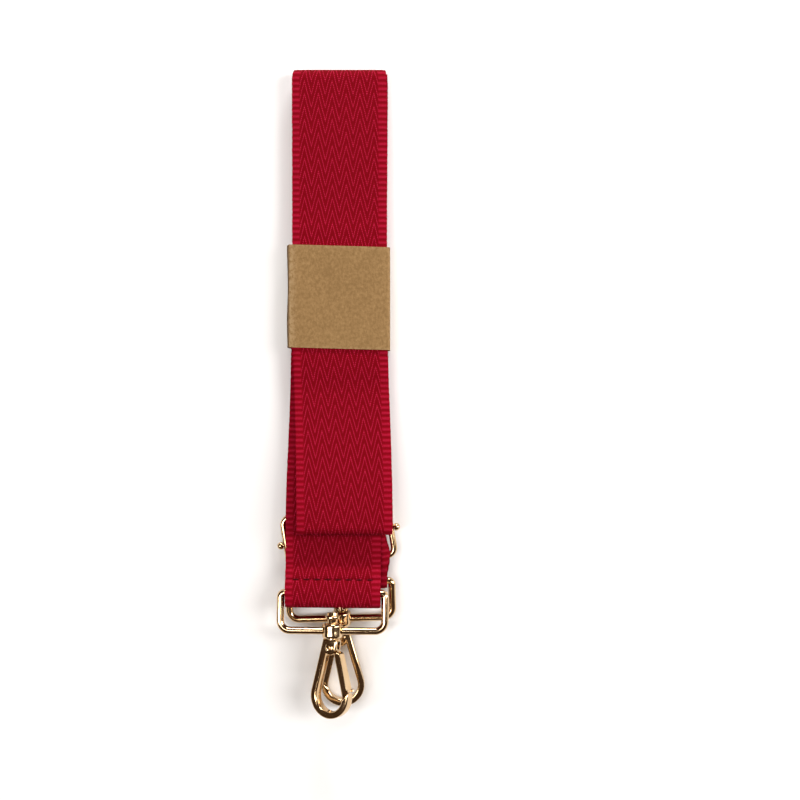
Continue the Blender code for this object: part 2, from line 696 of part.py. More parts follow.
def build_gate(end, side, look, gate_place, hole_cutter):
    mesh = plate(gate_outline(), HOOK_THICK, HOOK_EDGE, side)
    bmesh.ops.translate(mesh, verts=mesh.verts, vec=(0, RIVET_DROP, 0))
    gate = add_object(f"{end}_gate", mesh, look, gate_place)
    root = KNUCKLE_RADIUS + HOOK_LIMB / 2
    inner_root = limb_meets_circle(1, hook_radius - HOOK_LIMB + HOOK_EDGE, root)
    root_angle = angle_at_rivet(inner_root)
    tab_points = knuckle(root, GATE_TAB_ANGLE, root_angle, 2)
    tab_points += knuckle(GATE_EYE, root_angle + GATE_EYE_START, GATE_EYE_END, 8)
    mesh = plate(tab_points, GATE_TAB_THICK, 0, side)
    bmesh.ops.translate(mesh, verts=mesh.verts, vec=(0, RIVET_DROP, 0))
    cut(gate, add_object(f"{end}_tab_joined", mesh, None, gate_place), "UNION")
    cut(gate, hole_cutter)


def build_rivet(end, look, gate_place):
    shaft, head, flat = RIVET_DIAMETER / 2, RIVET_HEAD_DIAMETER / 2, RIVET_FLAT_DIAMETER / 2
    face = HOOK_THICK / 2 + RIVET_SEAT
    top = face + RIVET_HEAD_HEIGHT
    half = ((shaft, face), (head, face), (head, face + RIVET_HEAD_HEIGHT / 2), (flat, top))
    mesh = bmesh.new()
    turned(mesh, [(r, -y) for r, y in reversed(half)] + list(half))
    rivet = add_object(f"{end}_rivet", mesh, look, gate_place)
    rivet.rotation_euler.x = math.pi / 2


def main():
    clear_scene()
    webbing_look = material("webbing")
    card_look = material("card")
    gold_look = material("gold")
    build_webbing(webbing_look)
    build_card_band(card_look)
    build_slider(gold_look)
    bars = {"front": (front_bar, front_pitch), "rear": (rear_bar, rear_pitch)}
    for end, (bar, rise) in bars.items():
        place = (ENDS[end]["across"], *bar)
        ring_place = add_empty(f"{end}_bar_axis", place, (-rise, 0, ENDS[end]["turn"]))
        build_ring(end, gold_look, ring_place)
        build_hook(end, gold_look, ring_place)


main()
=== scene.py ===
import json
import math

import bmesh
import bpy
from mathutils import Matrix, Vector


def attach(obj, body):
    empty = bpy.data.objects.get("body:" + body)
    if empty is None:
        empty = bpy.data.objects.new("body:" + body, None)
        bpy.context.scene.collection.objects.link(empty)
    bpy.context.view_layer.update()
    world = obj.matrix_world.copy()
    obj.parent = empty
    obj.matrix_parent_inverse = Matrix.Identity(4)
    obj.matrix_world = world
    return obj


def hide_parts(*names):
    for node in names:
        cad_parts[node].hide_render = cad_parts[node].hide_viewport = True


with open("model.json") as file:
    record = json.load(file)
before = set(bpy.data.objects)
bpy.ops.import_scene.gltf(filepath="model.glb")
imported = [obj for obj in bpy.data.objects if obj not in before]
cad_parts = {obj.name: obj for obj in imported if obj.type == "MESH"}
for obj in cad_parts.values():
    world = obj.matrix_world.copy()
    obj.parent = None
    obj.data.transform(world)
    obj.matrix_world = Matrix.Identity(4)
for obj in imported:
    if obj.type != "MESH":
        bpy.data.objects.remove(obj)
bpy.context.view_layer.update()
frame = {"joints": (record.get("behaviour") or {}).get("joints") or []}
joints = {joint["name"]: joint for joint in frame["joints"]}
print("frame loaded")


# helpers for every piece

def mix(start, end, share):
    return start + (end - start) * share


def easeStep(share):
    share = min(max(share, 0.0), 1.0)
    return share * share * (3 - 2 * share)


def finishPiece(name, mesh, look, body, nodes, place=None, cutters=(), thicken=None, sharp=35):
    # make the object at the origin, cut and thicken the mesh in its own frame, then put the mesh in its place
    data = bpy.data.meshes.new(name)
    mesh.to_mesh(data)
    mesh.free()
    piece = bpy.data.objects.new(name, data)
    bpy.context.scene.collection.objects.link(piece)
    spare = []
    for operation, cutter in cutters:
        cutterData = bpy.data.meshes.new(name + "_cutter")
        cutter.to_mesh(cutterData)
        cutter.free()
        tool = bpy.data.objects.new(name + "_cutter", cutterData)
        bpy.context.scene.collection.objects.link(tool)
        spare.append(tool)
        change = piece.modifiers.new("cut", "BOOLEAN")
        change.operation = operation
        change.solver = "EXACT"
        change.object = tool
    if thicken:
        wall = piece.modifiers.new("wall", "SOLIDIFY")
        for key, value in thicken.items():
            setattr(wall, key, value)
    if piece.modifiers:
        bpy.context.view_layer.update()
        shown = piece.evaluated_get(bpy.context.evaluated_depsgraph_get())
        piece.data = bpy.data.meshes.new_from_object(shown)
        piece.modifiers.clear()
        piece.data.name = name
    for tool in spare:
        bpy.data.objects.remove(tool)
    if place is not None:
        piece.data.transform(place)
    piece.data.materials.clear()
    piece.data.materials.append(look)
    piece.data.shade_smooth()
    piece.data.set_sharp_from_angle(angle=math.radians(sharp))
    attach(piece, body)
    if nodes:
        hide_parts(*nodes)
    print("made", name, len(piece.data.polygons), "faces")


# materials

def newLook(name, settings):
    look = bpy.data.materials.new(name)
    look.use_nodes = True
    shader = look.node_tree.nodes["Principled BSDF"]
    for socket, value in settings.items():
        shader.inputs[socket].default_value = value
    return look, look.node_tree, shader


def sums(tree, operation, *values):
    node = tree.nodes.new("ShaderNodeMath")
    node.operation = operation
    for socket, value in zip(node.inputs, values):
        if isinstance(value, bpy.types.NodeSocket):
            tree.links.new(value, socket)
        else:
            socket.default_value = value
    return node.outputs[0]


def rise(tree, value, low, high):
    node = tree.nodes.new("ShaderNodeMapRange")
    node.interpolation_type = "SMOOTHSTEP"
    node.inputs["From Min"].default_value = low
    node.inputs["From Max"].default_value = high
    tree.links.new(value, node.inputs["Value"])
    return node.outputs["Result"]


def blendValue(tree, first, second, share):
    node = tree.nodes.new("ShaderNodeMix")
    sockets = (node.inputs["A"], node.inputs["B"], node.inputs["Factor"])
    for socket, value in zip(sockets, (first, second, share)):
        if isinstance(value, bpy.types.NodeSocket):
            tree.links.new(value, socket)
        else:
            socket.default_value = value
    return node.outputs["Result"]


def colourRamp(tree, value, stops):
    node = tree.nodes.new("ShaderNodeValToRGB")
    while len(node.color_ramp.elements) < len(stops):
        node.color_ramp.elements.new(0.5)
    for element, (place, colour) in zip(node.color_ramp.elements, stops):
        element.position = place
        element.color = (*colour, 1.0)
    tree.links.new(value, node.inputs["Fac"])
    return node.outputs["Color"]


def bumpFrom(tree, shader, height, strength, distance):
    node = tree.nodes.new("ShaderNodeBump")
    node.inputs["Strength"].default_value = strength
    node.inputs["Distance"].default_value = distance
    tree.links.new(height, node.inputs["Height"])
    tree.links.new(node.outputs["Normal"], shader.inputs["Normal"])


def noiseOn(tree, vector, scale, detail=3.0, roughness=0.55):
    node = tree.nodes.new("ShaderNodeTexNoise")
    node.inputs["Scale"].default_value = scale
    node.inputs["Detail"].default_value = detail
    node.inputs["Roughness"].default_value = roughness
    tree.links.new(vector, node.inputs["Vector"])
    return node.outputs["Fac"]


weave = {
    "firstPeak": 0.50, "peakStep": 0.556, "steepness": 3.8, "lineStep": 0.52,  # centimetres on the ribbon
    "field": (0.31, 3.44), "selvedgeStep": 0.22, "yarnStep": 0.078,
    # the groove colour is painted shade in the weave's hollows and the crest colour a painted highlight on
    # its raised lines, over the ribbon's own red
    "groove": (0.150, 0.0004, 0.0036), "body": (0.240, 0.0007, 0.0095), "crest": (0.620, 0.0230, 0.0800),
    "roughness": 0.80, "bump": 0.85, "depth": 0.00024, "ridge": (0.135, 0.250),
}


def webbingLook():
    look, tree, shader = newLook("crimsonHerringbone", {
        "Roughness": weave["roughness"], "Specular IOR Level": 0.05,
    })
    chart = tree.nodes.new("ShaderNodeUVMap")
    chart.uv_map = "weave"
    split = tree.nodes.new("ShaderNodeSeparateXYZ")
    tree.links.new(chart.outputs["UV"], split.inputs[0])
    across, along = split.outputs["X"], split.outputs["Y"]
    wander = noiseOn(tree, chart.outputs["UV"], 3.0, 2.0)
    wavyAlong = sums(tree, "MULTIPLY_ADD", wander, 0.14, along)
    # chevrons: distance from the nearest peak pushes the line along the ribbon
    pastPeak = sums(tree, "SUBTRACT", across, weave["firstPeak"])
    fromPeak = sums(tree, "PINGPONG", pastPeak, weave["peakStep"] / 2)
    phase = sums(tree, "MULTIPLY_ADD", fromPeak, -weave["steepness"], wavyAlong)
    line = sums(tree, "PINGPONG", phase, weave["lineStep"] / 2)
    ridge = rise(tree, line, *weave["ridge"])
    # the yarns that cross each line show as small beads
    slanted = sums(tree, "MULTIPLY_ADD", fromPeak, 0.4, wavyAlong)
    yarn = sums(tree, "PINGPONG", slanted, weave["yarnStep"] / 2)
    bead = rise(tree, yarn, 0.0, weave["yarnStep"] / 2)
    chevron = sums(tree, "MULTIPLY", ridge, sums(tree, "MULTIPLY_ADD", bead, 0.75, 0.30))
    # the edges are plain ribs across the ribbon
    rib = sums(tree, "PINGPONG", along, weave["selvedgeStep"] / 2)
    edgeRib = rise(tree, rib, 0.0, weave["selvedgeStep"] / 2 - 0.02)
    inLeft = rise(tree, across, weave["field"][0] - 0.05, weave["field"][0] + 0.04)
    inRight = rise(tree, across, weave["field"][1] + 0.05, weave["field"][1] - 0.04)
    inside = sums(tree, "MULTIPLY", inLeft, inRight)
    height = blendValue(tree, sums(tree, "MULTIPLY_ADD", edgeRib, 0.48, 0.08), chevron, inside)
    fuzz = noiseOn(tree, chart.outputs["UV"], 26.0, 4.0, 0.6)
    speckle = sums(tree, "MULTIPLY_ADD", fuzz, 0.5, -0.17)
    tone = sums(tree, "MULTIPLY_ADD", height, 0.8, speckle)
    # the colour follows the weave's relief: its herringbone pattern and edge ribs, with painted shade in the
    # grooves and painted highlight on the crests
    colour = colourRamp(tree, tone, [(0.0, weave["groove"]), (0.42, weave["body"]), (0.95, weave["crest"])])
    tree.links.new(colour, shader.inputs["Base Color"])
    bumpFrom(tree, shader, sums(tree, "MULTIPLY_ADD", fuzz, 0.25, height), weave["bump"], weave["depth"])
    return look


def threadLook():
    look, tree, shader = newLook("crimsonThread", {"Roughness": 0.8, "Specular IOR Level": 0.1})
    place = tree.nodes.new("ShaderNodeTexCoord").outputs["Object"]
    twist = tree.nodes.new("ShaderNodeTexWave")
    twist.bands_direction = "DIAGONAL"
    twist.inputs["Scale"].default_value = 900.0
    tree.links.new(place, twist.inputs["Vector"])
    tones = [(0.0, (0.020, 0.0002, 0.001)), (1.0, (0.075, 0.0006, 0.003))]
    colour = colourRamp(tree, twist.outputs["Fac"], tones)
    tree.links.new(colour, shader.inputs["Base Color"])
    bumpFrom(tree, shader, twist.outputs["Fac"], 0.5, 0.00008)
    return look


# the pale colour is a painted highlight on the band's creases, also laid on the band's ends
kraft = {"light": (0.315, 0.192, 0.081), "mid": (0.265, 0.157, 0.063), "dark": (0.215, 0.124, 0.047),
         # the side colour is painted shade for the folded-down left side
         "worn": (0.40, 0.27, 0.14), "side": (0.085, 0.048, 0.020)}


def kraftLook():
    look, tree, shader = newLook("kraftCard", {"Roughness": 0.9, "Specular IOR Level": 0.15})
    place = tree.nodes.new("ShaderNodeTexCoord").outputs["Object"]
    stretch = tree.nodes.new("ShaderNodeMapping")
    stretch.inputs["Scale"].default_value = (1.0, 0.55, 1.0)
    tree.links.new(place, stretch.inputs["Vector"])
    mottle = noiseOn(tree, place, 760.0, 5.0, 0.72)
    cloud = noiseOn(tree, place, 55.0, 2.0)
    fibre = noiseOn(tree, stretch.outputs["Vector"], 1500.0, 3.0, 0.7)
    tone = sums(tree, "ADD", sums(tree, "MULTIPLY", mottle, 0.50), sums(tree, "MULTIPLY", cloud, 0.06))
    tone = sums(tree, "MULTIPLY_ADD", fibre, 0.38, tone)
    paper = colourRamp(tree, tone, [(0.40, kraft["dark"]), (0.50, kraft["mid"]), (0.60, kraft["light"])])
    # painted highlight along the top crease and the top-right corner, and paler ends of the band, broken up
    # by the mottle
    worn = tree.nodes.new("ShaderNodeAttribute")
    worn.attribute_name = "worn"
    paleShare = sums(tree, "MULTIPLY", worn.outputs["Fac"], rise(tree, mottle, 0.35, 0.6))
    blend = tree.nodes.new("ShaderNodeMix")
    blend.data_type = "RGBA"
    tree.links.new(paleShare, blend.inputs["Factor"])
    tree.links.new(paper, blend.inputs[6])
    blend.inputs[7].default_value = (*kraft["worn"], 1.0)
    # painted shade on the folded-down left side, broken into paler patches by noise
    side = tree.nodes.new("ShaderNodeAttribute")
    side.attribute_name = "side"
    patchyShade = rise(tree, noiseOn(tree, stretch.outputs["Vector"], 700.0, 2.0), 0.62, 0.50)
    shade = tree.nodes.new("ShaderNodeMix")
    shade.data_type = "RGBA"
    tree.links.new(sums(tree, "MULTIPLY", side.outputs["Fac"], patchyShade), shade.inputs["Factor"])
    tree.links.new(blend.outputs[2], shade.inputs[6])
    shade.inputs[7].default_value = (*kraft["side"], 1.0)
    tree.links.new(shade.outputs[2], shader.inputs["Base Color"])
    bumpFrom(tree, shader, sums(tree, "ADD", mottle, fibre), 0.45, 0.00014)
    return look


gold = {"colour": (0.64, 0.435, 0.235), "rubbed": (0.74, 0.55, 0.34), "roughness": (0.09, 0.19)}


def goldLook():
    look, tree, shader = newLook("paleGold", {"Metallic": 1.0})
    place = tree.nodes.new("ShaderNodeTexCoord").outputs["Object"]
    cloud = noiseOn(tree, place, 120.0, 2.0)
    colour = colourRamp(tree, cloud, [(0.35, gold["colour"]), (0.70, gold["rubbed"])])
    tree.links.new(colour, shader.inputs["Base Color"])
    low, high = gold["roughness"]
    tree.links.new(sums(tree, "MULTIPLY_ADD", cloud, high - low, low), shader.inputs["Roughness"])
    bumpFrom(tree, shader, noiseOn(tree, place, 420.0, 2.0), 0.10, 0.0001)
    return look


webbingCloth, thread, kraftCard, paleGold = webbingLook(), threadLook(), kraftLook(), goldLook()
print("materials made")

# sizes, in metres

strap = {
    "width": 0.038, "thick": 0.0013, "gap": 0.0003, "topFoldY": 0.1299, "bottomFoldY": -0.0569,
    "bendInset": 0.012, "stationStep": 0.007, "wedge": 0.060, "sewnTail": 0.0075, "frontSlack": 0.0028,
    "foldWidth": 0.965, "sewnLength": 0.042, "acrossFaces": 22, "edgeCrowding": 0.8, "alongStep": 0.00056,
    "selvedge": 0.0031, "ribPitch": 0.0022, "ribDepth": 0.12, "ribWander": 0.00045, "scallop": 0.00010,
    "fill": (0.94, 0.95), "grooveDepth": 0.12, "grooveWidth": 0.00035, "rimFill": 0.66, "edgeEase": 0.0003,
    "wanderTurns": (410, 173), "scallopWander": 0.3,
}
stitches = {"count": 8, "pitch": 0.0042, "length": 0.0026, "thread": 0.00062, "dent": 0.00040,
            "dentWidth": 0.0006, "holeDepth": 0.9, "holeWidth": 0.0005, "showing": 0.25}
card = {"length": 0.0410, "wall": 0.0005, "centreY": 0.0376, "slant": -0.028, "corner": 0.0012,
        "bulge": 0.0012, "bulgeHeight": 0.45, "sideRoom": 0.0006, "footCorner": 0.9, "creaseCorner": 0.8,
        "steps": 30, "cuts": 12,
        # widths of the painted highlight at the crease and the top-right corner, where the paler ends begin,
        # the edge of the painted side shade, and the waver
        "wornCrease": 0.0007, "wornRight": 0.0006, "wornEnds": 0.985, "sideEase": 0.0003, "waver": 0.00018}
slider = {"wire": 0.0026, "height": 0.0242, "sideRoom": 0.0008, "corner": 0.0030, "centre": (0.0, -0.0585),
          "turn": math.radians(9.4), "pin": 0.0016, "ball": 0.0031, "ballFlat": math.radians(60),
          "ballSeat": 0.00015,
          "pinWrap": (-190, 60), "barWrap": 39, "runDownTurn": 30, "runDown": 0.0175, "ringEntry": 0.42}
ring = {"wire": 0.0030, "reach": 0.0148, "nearCorner": 0.0016, "farCorner": 0.0039, "collar": 0.0082,
        "collarLength": 0.0056, "collarEdge": 0.0008, "sides": 28}
post = {"diameter": 0.0040, "head": 0.0060, "headStep": 0.0012, "cap": 0.0044, "capStep": 0.0014,
        "root": 0.0020, "play": 0.0016}
hook = {"length": 0.0310, "width": 0.0174, "thick": 0.0042, "limb": 0.0027, "shoulder": 0.0064,
        "edge": 0.0006, "rivetDrop": 0.0034, "knuckle": 0.0029, "noseOuter": math.radians(-11),
        "noseInner": math.radians(11)}
gate = {"tab": 0.0013, "eye": 0.0020, "topAngle": math.radians(25), "noseGap": (1.6, 2.0),
        "tabStart": math.radians(8), "eyeTurns": (math.radians(50), math.radians(305))}
rivet = {"diameter": 0.0020, "head": 0.0034, "headHeight": 0.0004, "seat": 0.00015,
         "rim": ((0.96, 0.7), (0.80, 1.0), (0.62, 1.0), (0.48, 0.35), (0.34, 0.35), (0.22, 1.0), (0.0, 1.0))}
ends = {
    "front": {"across": -0.0019, "turn": math.radians(-0.6)},
    "rear": {"across": 0.00065, "turn": math.radians(1.5)},
}
# level in the stack, and how far each flat run lies to the right at the top fold, in the card and low down
runs = {
    "rearFirst": {"level": 0, "top": 0.0009, "band": 0.0004, "low": -0.0012},
    "frontFirst": {"level": 1, "top": 0.0008, "band": -0.0001, "low": -0.0019},
    "rearThird": {"level": 2, "top": 0.0006, "band": 0.0006, "low": 0.0027},
    "frontThird": {"level": 3, "top": 0.0006, "band": 0.0005, "low": 0.0027},
    "frontSecond": {"level": 4, "top": 0.0006, "band": 0.0006, "low": 0.0029},
    "rearSecond": {"level": 5, "top": 0.0005, "band": 0.0007, "low": 0.0030},
}
# the free end behind the slider's bar: how far back, in bar loop radii, and how far it has come down
sliderTail = ((3.9, 0.0), (2.6, 0.02), (1.85, 0.16), (1.35, 0.42))
# the sewn end: how far from the free end to the ring's bar, and how far risen to the top of the ring's loop
sewnTop = ((0.0, 0.46), (0.27, 0.62), (0.66, 0.90))
sewnReturn = (0.62, 0.75)

pitch = strap["thick"] + strap["gap"]
halfWidth = strap["width"] / 2
bed = strap["thick"] / 2
pinLoop = slider["pin"] / 2 + strap["gap"] + bed
barWrap = slider["wire"] / 2 + strap["gap"] + bed
ringLoop = ring["wire"] / 2 + strap["gap"] + bed
sliderZ = 2 * pitch + slider["wire"] / 2
sliderReach = (slider["height"] - slider["wire"]) / 2
sliderSlope = math.tan(slider["turn"])
nearBarY = slider["centre"][1] - sliderReach / math.cos(slider["turn"])
farBarY = slider["centre"][1] + sliderReach / math.cos(slider["turn"])
rearSlope = math.tan(ends["rear"]["turn"])
frontSlope = math.tan(ends["front"]["turn"])
ringWidth = strap["width"] + 2 * strap["gap"] + ring["wire"]
bowRadius = hook["width"] / 2
rearBar = tuple(joints["rear_ring_pivot"]["pos_m"][1:])
frontBar = tuple(joints["front_ring_pivot"]["pos_m"][1:])
sliderTopZ = 2 * sliderZ - bed
overSliderZ = sliderTopZ + pitch
foldRise = overSliderZ + pitch - (2 * pitch + bed)
topFold = (strap["topFoldY"] - 5 * pitch / 2 - bed, 5 * pitch / 2 + bed)
bottomFold = (strap["bottomFoldY"] + 3 * pitch / 2 + bed, foldRise + 7 * pitch / 2 + bed)
bandLift = card["wall"] + strap["gap"]
loopTop = frontBar[1] + ringLoop
tailEnd = frontBar[0] + strap["sewnTail"]
seam = (mix(tailEnd, frontBar[0], sewnTop[1][0]), mix(overSliderZ, loopTop, sewnTop[1][1]))


# the webbing's route, seen from the side

def arcPoints(centre, radius, start, end):
    count = max(3, math.ceil(abs(end - start) / 9))
    turns = [math.radians(mix(start, end, i / count)) for i in range(count + 1)]
    return [(centre[0] + radius * math.cos(a), centre[1] + radius * math.sin(a)) for a in turns]


def runHeight(name, y):
    level = runs[name]["level"]
    pastCard = abs(y - card["centreY"]) - card["length"] / 2 - strap["stationStep"]
    height = bed + level * pitch + bandLift * easeStep(1 - pastCard / strap["stationStep"])
    if level == 1:
        slope = strap["wedge"] - strap["stationStep"]
        height += (overSliderZ - pitch - bed) * easeStep((bottomFold[0] + slope - y) / slope)
    if level > 1:
        height += foldRise * easeStep((bottomFold[0] + strap["wedge"] - y) / strap["wedge"])
    return height


def runShift(name, y):
    row = runs[name]
    if y > card["centreY"]:
        return mix(row["band"], row["top"], (y - card["centreY"]) / (topFold[0] - card["centreY"]))
    share = easeStep((card["centreY"] - y) / (card["centreY"] - bottomFold[0]))
    return mix(row["band"], row["low"], share)


def stations(low, high):
    count = round((topFold[0] - bottomFold[0]) / strap["stationStep"])
    places = [mix(bottomFold[0], topFold[0], i / count) for i in range(count + 1)]
    return [y for y in places if low + strap["stationStep"] / 3 < y < high - strap["stationStep"] / 3]


def webbingRows():
    rows = []  # middle y and z, shift to the right, slant, width

    def add(points, shift, slant=(0.0, 0.0), width=(1.0, 1.0)):
        last = max(1, len(points) - 1)
        for i, (y, z) in enumerate(points):
            share = i / last
            rows.append((y, z, mix(*shift, share), mix(*slant, share), mix(*width, share)))

    def run(name, places):
        for y in places:
            rows.append((y, runHeight(name, y), runShift(name, y), 0.0, 1.0))

    along = (sliderSlope, sliderSlope)
    pinX = slider["centre"][0]
    ringAt = ends["rear"]["across"]
    nearShift = pinX + sliderReach * math.sin(slider["turn"])
    farShift = pinX - sliderReach * math.sin(slider["turn"])
    pin = (slider["centre"][1], sliderZ)
    tail = [(pin[0] - back * pinLoop, mix(sliderTopZ - pitch, sliderZ, lowered))
            for back, lowered in sliderTail]
    add(tail, (mix(pinX, nearShift, 0.5), pinX), along)
    add(arcPoints(pin, pinLoop, *slider["pinWrap"]), (pinX, pinX), along)
    add([(pin[0] - 2 * pinLoop, sliderTopZ), (nearBarY, sliderTopZ)], (pinX, nearShift), along)
    share = slider["ringEntry"]
    entrySlope = mix(sliderSlope, rearSlope, share)
    entry = (mix(nearBarY, rearBar[0], share), mix(sliderTopZ, rearBar[1] + ringLoop, share))
    add([entry], (ringAt, ringAt), (entrySlope, entrySlope))
    wrap = slider["barWrap"]
    add(arcPoints(rearBar, ringLoop, 90, 270 + wrap), (ringAt, ringAt), (rearSlope, rearSlope))
    add(arcPoints((nearBarY, sliderZ), barWrap, 90 + wrap, 90 - wrap), (nearShift, nearShift), along)
    add(arcPoints(pin, pinLoop + pitch, -90 - wrap, wrap - 90), (pinX, pinX), along)
    leave = arcPoints((farBarY, sliderZ), barWrap, 90 + wrap, 90 - slider["runDownTurn"])
    add(leave, (farShift, farShift), along)
    settle = farBarY + slider["runDown"]
    shares = (1 / 3, 2 / 3)
    down = [(mix(leave[-1][0], settle, s), mix(leave[-1][1], bed, easeStep(s))) for s in shares]
    low = runs["rearFirst"]["low"]
    add(down, (low, low), (sliderSlope * shares[1], sliderSlope * shares[0]))
    run("rearFirst", stations(settle, topFold[0]))
    outer = (runs["rearFirst"]["top"], runs["rearSecond"]["top"])
    add(arcPoints(topFold, 5 * pitch / 2, -90, 0), outer, width=(1.0, strap["foldWidth"]))
    add(arcPoints(topFold, 5 * pitch / 2, 0, 90)[1:], (outer[1], outer[1]), width=(strap["foldWidth"], 1.0))
    run("rearSecond", reversed(stations(bottomFold[0], topFold[0])))
    add(arcPoints(bottomFold, 3 * pitch / 2, 90, 270), (runs["rearSecond"]["low"], runs["rearThird"]["low"]))
    bend = (topFold[0] - strap["bendInset"], bed + 5 * pitch / 2)
    run("rearThird", stations(bottomFold[0], bend[0]))
    add(arcPoints(bend, pitch / 2, -90, 90), (runs["rearThird"]["top"], runs["frontThird"]["top"]))
    run("frontThird", reversed(stations(bottomFold[0], bend[0])))
    add(arcPoints(bottomFold, pitch / 2, -90, -270), (runs["frontThird"]["low"], runs["frontSecond"]["low"]))
    run("frontSecond", stations(bottomFold[0], topFold[0]))
    add(arcPoints(topFold, 3 * pitch / 2, 90, -90), (runs["frontSecond"]["top"], runs["frontFirst"]["top"]))
    run("frontFirst", reversed(stations(bottomFold[0], topFold[0])))
    frontAt = ends["front"]["across"]
    sewn = [(mix(tailEnd, frontBar[0], toBar), mix(overSliderZ, loopTop, risen)) for toBar, risen in sewnTop]
    over = [(pin[0], overSliderZ), (nearBarY, overSliderZ), *sewn, (frontBar[0], loopTop)]
    add(over, (runs["frontFirst"]["low"], frontAt), (0.0, frontSlope))
    loopCentre = (frontBar[0] - strap["frontSlack"], frontBar[1])
    add(arcPoints(loopCentre, ringLoop, 90, 270), (frontAt, frontAt), (frontSlope, frontSlope))
    sewnPitch = pitch + strap["gap"]
    back = (mix(tailEnd, frontBar[0], sewnReturn[0]),
            mix(seam[1] - sewnPitch, frontBar[1] - ringLoop, sewnReturn[1]))
    under = [(frontBar[0], frontBar[1] - ringLoop), back, (seam[0], seam[1] - sewnPitch),
             (tailEnd, sewn[0][1] - sewnPitch)]
    add(under, (frontAt, frontAt), (frontSlope, 0.0))
    return rows


def softSlope(left, right, before, after):
    # the slope at a row, held back so that the curve never swings past its rows
    if not before or not after:
        return left + right
    if left * right <= 0:
        return 0.0
    slope = (left * after + right * before) / (before + after)
    return math.copysign(min(abs(slope), 3 * min(abs(left), abs(right))), slope)


def smoothRoute(rows, step):
    # even steps along a soft curve through the rows
    lengths = [0.0]
    for here, following in zip(rows, rows[1:]):
        lengths.append(lengths[-1] + math.hypot(following[0] - here[0], following[1] - here[1]))
    vectors = [tuple(row) for row in rows]
    slopes = []
    for i in range(len(rows)):
        a, b = max(i - 1, 0), min(i + 1, len(rows) - 1)
        before, after = lengths[i] - lengths[a], lengths[b] - lengths[i]
        slope = []
        for k in range(5):
            left = (vectors[i][k] - vectors[a][k]) / before if before else 0.0
            right = (vectors[b][k] - vectors[i][k]) / after if after else 0.0
            slope.append(softSlope(left, right, before, after))
        slopes.append(slope)
    count = round(lengths[-1] / step)
    route, i = [], 0
    for n in range(count + 1):
        s = lengths[-1] * n / count
        while i < len(rows) - 2 and s > lengths[i + 1]:
            i += 1
        span = lengths[i + 1] - lengths[i]
        t = (s - lengths[i]) / span
        h = (2 * t**3 - 3 * t**2 + 1, (t**3 - 2 * t**2 + t) * span,
             -2 * t**3 + 3 * t**2, (t**3 - t**2) * span)
        route.append(tuple(
            h[0] * vectors[i][k] + h[1] * slopes[i][k]
            + h[2] * vectors[i + 1][k] + h[3] * slopes[i + 1][k]
            for k in range(5)))
    return route, lengths[-1]


def crowd(side):
    # closer rows of vertices towards the edges
    return math.copysign(abs(side) ** strap["edgeCrowding"], side)


def seamDent(y, z, offCentre):
    # the stitches pull a groove into both layers, deepest at their holes
    dent = math.exp(-((y - seam[0]) / stitches["dentWidth"]) ** 2) * stitches["dent"]
    hole = (abs(offCentre) / stitches["pitch"]) % 1.0
    fromHole = min(hole, 1 - hole) * stitches["pitch"]
    dent *= 1.0 + stitches["holeDepth"] * math.exp(-(fromHole / stitches["holeWidth"]) ** 2)
    return -dent if z < seam[1] - pitch / 2 else dent


def buildWebbing():
    route, length = smoothRoute(webbingRows(), strap["alongStep"])
    alongFaces = len(route) - 1
    mesh = bmesh.new()
    chart = mesh.loops.layers.uv.new("weave")
    bmesh.ops.create_grid(mesh, x_segments=strap["acrossFaces"], y_segments=alongFaces, size=0.5,
                          calc_uvs=True)
    fullness = mesh.verts.layers.deform.verify()
    firstSewn = alongFaces - round(strap["sewnLength"] / strap["alongStep"])
    for face in mesh.faces:
        for loop in face.loops:
            across = (crowd(loop[chart].uv.x * 2 - 1) + 1) / 2
            loop[chart].uv = (across * strap["width"] * 100, loop[chart].uv.y * length * 100)
    for vert in mesh.verts:
        side = crowd(vert.co.x * 2)
        n = round((vert.co.y + 0.5) * alongFaces)
        y, z, shift, slant, width = route[n]
        travelled = length * n / alongFaces
        quick, slow = strap["wanderTurns"]
        wander = math.sin(travelled * quick + side) + math.sin(travelled * slow - 2 * side)
        fromEdge = (1 - abs(side)) * halfWidth
        rib = abs(math.sin(math.pi * (travelled + strap["ribWander"] * wander) / strap["ribPitch"]))
        edgeShare = easeStep((strap["selvedge"] + strap["edgeEase"] - fromEdge) / (2 * strap["edgeEase"]))
        thick = mix(strap["fill"][0], strap["fill"][1] - strap["ribDepth"] * (1 - rib), edgeShare)
        fromGroove = (fromEdge - strap["selvedge"]) / strap["grooveWidth"]
        thick *= 1 - strap["grooveDepth"] * math.exp(-fromGroove ** 2)
        if fromEdge < 1e-5:
            thick *= strap["rimFill"]
        reach = side * halfWidth * width
        scallop = strap["scallop"] * (1 - rib + strap["scallopWander"] * wander)
        reach -= math.copysign(scallop * edgeShare, side)
        dent = seamDent(y, z, shift + reach - ends["front"]["across"]) if n > firstSewn else 0.0
        vert.co = (shift + reach, y + slant * reach, z - dent)
        vert[fullness][0] = thick
    finishWebbing(mesh, length)
    return route


def finishWebbing(mesh, length):
    data = bpy.data.meshes.new("webbing_cloth")
    mesh.to_mesh(data)
    mesh.free()
    piece = bpy.data.objects.new("webbing_cloth", data)
    bpy.context.scene.collection.objects.link(piece)
    piece.vertex_groups.new(name="fullness")
    wall = piece.modifiers.new("wall", "SOLIDIFY")
    wall.thickness = strap["thick"]
    wall.offset = 0.0
    wall.vertex_group = "fullness"
    bpy.context.view_layer.update()
    shown = piece.evaluated_get(bpy.context.evaluated_depsgraph_get())
    piece.data = bpy.data.meshes.new_from_object(shown)
    piece.modifiers.clear()
    piece.data.materials.append(webbingCloth)
    piece.data.shade_smooth()
    piece.data.set_sharp_from_angle(angle=math.radians(60))
    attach(piece, "strap")
    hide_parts("webbing")
    print("made webbing_cloth", len(piece.data.polygons), "faces,", round(length, 4), "m long")


